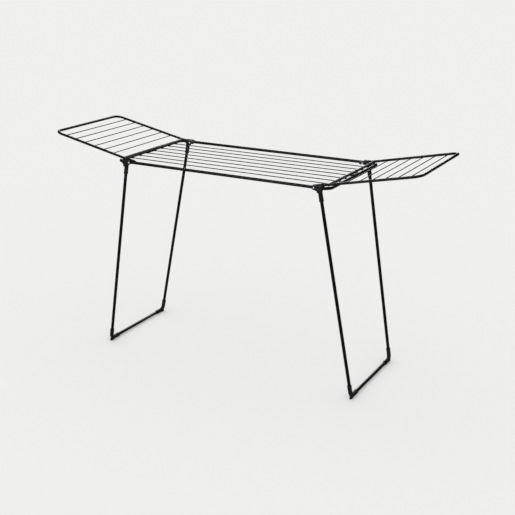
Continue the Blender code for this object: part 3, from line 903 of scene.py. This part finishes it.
def add_wing(end):
    """The bent tube, stretcher, wires and welds of one wing."""
    wing = f"{end}_wing"
    flip = Matrix.Diagonal((ENDS[end], 1, 1))
    seat = WING_ROOT + WING_ALONG * (FITTING_SEAT + GAP)
    tip = WING_ROOT + WING_ALONG * WING_TIP_REACH
    half = Vector((0, WING_HALF_WIDTH, 0))
    corners = [flip @ corner for corner in (seat - half, tip - half, tip + half, seat + half)]
    route = rounded_path(corners, WING_BEND, steps=20)
    bar(f"{end}_wing_loop", route, WING_RADIUS, "wing_paint", wing, f"{end}_wing_tube", WING_SIDES)
    node = f"{end}_wing_stretcher"
    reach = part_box(node)[1].y
    ends = [flip @ Vector((STRETCHER.x, y, STRETCHER.z)) for y in (-reach, reach)]
    # The stretcher's lighter grey coat is painted sheen, not a colour of its own
    bar(f"{end}_stretcher_bar", ends, STRETCHER_RADIUS, "stretcher_coat", wing, node, WING_SIDES)
    welds = []
    for sign in (-1, 1):
        y = sign * (reach - WELD_SINK)
        place = flip @ Vector((STRETCHER.x, y, STRETCHER.z + STRETCHER_BEAD_RISE))
        length = STRETCHER_RADIUS + STRETCHER_BEAD_MARGIN
        welds.append((place, Vector((1, 0, 0)), length, STRETCHER_BEAD_RADIUS))
    for number in range(1, WING_WIRES + 1):
        welds += add_wing_wire(f"{end}_wing_wire_{number}", wing, flip)
    weld_piece(f"{end}_wing_weld_beads", "wing_paint", wing, welds)


def add_wing_wire(node, wing, flip):
    """A wing wire, bowed and sagging a little. Returns its two welds."""
    middle = centre_of(node)
    bow = random.uniform(-1, 1)
    path = []
    for step in range(WING_WIRE_STEPS + 1):
        share = step / WING_WIRE_STEPS
        fade = math.sin(math.pi * share)
        x = middle.x + WING_WIRE_BOW * bow * fade
        path.append(Vector((x, WIRE_REACH * (2 * share - 1), middle.z - WING_WIRE_SAG * fade)))
    bar(f"{node}_rod", path, WIRE_RADIUS, "wing_paint", wing, node, WIRE_SIDES, dome=0.0004)
    welds = []
    for sign in (-1, 1):
        place = Vector((middle.x, sign * (WIRE_REACH + WELD_SINK), middle.z - WELD_SINK))
        length = WIRE_RADIUS + WIRE_BEAD_MARGIN
        welds.append((place, flip @ WING_ALONG, length, WIRE_RADIUS + WELD_SINK))
    return welds


random.seed(7)
add_deck()
for end in ENDS:
    add_catch(end)
    for face in FACES:
        add_corner(end, face)
    add_floor_bar(end)
    add_wing(end)

# The camera, the lights and a white studio

CAMERA_AZIMUTH = math.radians(29.69)
CAMERA_ELEVATION = math.radians(18.56)
CAMERA_DISTANCE = 4.4023
CAMERA_TARGET = Vector((-0.0381, 0, 0.4559))
CAMERA_LENS = 66.63
CAMERA_SENSOR = 36
CAMERA_SHIFT = (0.0341, 0.0010)
CAMERA_REACH = 200
FLOOR_REACH = 60.0
FLOOR_WHITE = (0.90, 0.90, 0.883)
BACKDROP_WHITE = (0.8714, 0.8714, 0.8550, 1)
AMBIENT_WHITE = (0.8816, 0.8816, 0.8816, 1)
FLOOR_REFLECTED = (0.07, 0.07, 0.07, 1)
WORLD_REFLECTED = (0.03, 0.03, 0.03, 1)
FLOOR_GLOW = 0.2


def add_camera():
    level = math.cos(CAMERA_ELEVATION)
    back = Vector(
        (
            math.sin(CAMERA_AZIMUTH) * level,
            -math.cos(CAMERA_AZIMUTH) * level,
            math.sin(CAMERA_ELEVATION),
        )
    )
    data = bpy.data.cameras.new("camera")
    data.lens = CAMERA_LENS
    data.sensor_width = CAMERA_SENSOR
    data.shift_x, data.shift_y = CAMERA_SHIFT
    data.clip_end = CAMERA_REACH
    camera = bpy.data.objects.new("camera", data)
    camera.location = CAMERA_TARGET + back * CAMERA_DISTANCE
    camera.rotation_euler = (-back).to_track_quat("-Z", "Y").to_euler()
    bpy.context.scene.collection.objects.link(camera)
    bpy.context.scene.camera = camera


def add_area(name, place, aim, size, power):
    data = bpy.data.lights.new(name, "AREA")
    data.shape = "RECTANGLE"
    data.size, data.size_y = size
    data.energy = power
    light = bpy.data.objects.new(name, data)
    light.location = place
    light.rotation_euler = (Vector(aim) - Vector(place)).to_track_quat("-Z", "Y").to_euler()
    light.visible_diffuse = False
    bpy.context.scene.collection.objects.link(light)


def add_sun(towards, power, spread):
    data = bpy.data.lights.new("sun", "SUN")
    data.energy = power
    data.angle = math.radians(spread)
    light = bpy.data.objects.new("sun", data)
    light.rotation_euler = Vector(towards).to_track_quat("Z", "Y").to_euler()
    light.visible_glossy = False
    bpy.context.scene.collection.objects.link(light)


def mix_node(tree, factor, first, second):
    """The mix of two shader nodes by a factor, either a number or a socket."""
    node = tree.nodes.new("ShaderNodeMixShader")
    if isinstance(factor, float):
        node.inputs["Fac"].default_value = factor
    else:
        tree.links.new(factor, node.inputs["Fac"])
    tree.links.new(first.outputs[0], node.inputs[1])
    tree.links.new(second.outputs[0], node.inputs[2])
    return node


def coloured_node(tree, kind, colour):
    node = tree.nodes.new(kind)
    node.inputs["Color"].default_value = colour
    return node


def add_floor():
    """A white floor that takes shadows, and that the paint reflects only darkly."""
    reach = FLOOR_REACH
    corners = [(-reach, -reach, 0), (reach, -reach, 0), (reach, reach, 0), (-reach, reach, 0)]
    mesh = bpy.data.meshes.new("floor")
    mesh.from_pydata(corners, [], [(0, 1, 2, 3)])
    floor = bpy.data.objects.new("floor", mesh)
    bpy.context.scene.collection.objects.link(floor)
    material = base_material("floor_white", FLOOR_WHITE, roughness=0.9, metallic=0.0, specular=0.0)
    tree = material.node_tree
    dim = coloured_node(tree, "ShaderNodeBsdfDiffuse", FLOOR_REFLECTED)
    glow = coloured_node(tree, "ShaderNodeEmission", BACKDROP_WHITE)
    lit = mix_node(tree, FLOOR_GLOW, tree.nodes["Principled BSDF"], glow)
    path = tree.nodes.new("ShaderNodeLightPath")
    choice = mix_node(tree, path.outputs["Is Glossy Ray"], lit, dim)
    tree.links.new(choice.outputs[0], tree.nodes["Material Output"].inputs["Surface"])
    mesh.materials.append(material)


def add_world():
    """A white surround, lighting the airer evenly and dark where the paint reflects it."""
    world = bpy.data.worlds.new("studio")
    world.use_nodes = True
    tree = world.node_tree
    tree.nodes.clear()
    path = tree.nodes.new("ShaderNodeLightPath")
    seen = coloured_node(tree, "ShaderNodeBackground", BACKDROP_WHITE)
    glossy = coloured_node(tree, "ShaderNodeBackground", WORLD_REFLECTED)
    ambient = coloured_node(tree, "ShaderNodeBackground", AMBIENT_WHITE)
    unseen = mix_node(tree, path.outputs["Is Glossy Ray"], ambient, glossy)
    surround = mix_node(tree, path.outputs["Is Camera Ray"], unseen, seen)
    out = tree.nodes.new("ShaderNodeOutputWorld")
    tree.links.new(surround.outputs[0], out.inputs["Surface"])
    bpy.context.scene.world = world
    bpy.context.scene.view_settings.view_transform = "Standard"


add_camera()
add_floor()
add_world()
add_sun(towards=(-0.45, 0.25, 0.86), power=0.30, spread=40)
add_area("key", place=(-2.6, -2.2, 3.4), aim=(0, 0, 0.8), size=(2.0, 2.0), power=10)
add_area("back", place=(-1.3, 3.2, 2.1), aim=(0.2, 0, 0.9), size=(2.0, 1.0), power=50)
add_area("front", place=(-1.0, -3.6, 1.65), aim=(0.3, -0.25, 0.93), size=(0.6, 0.9), power=22)
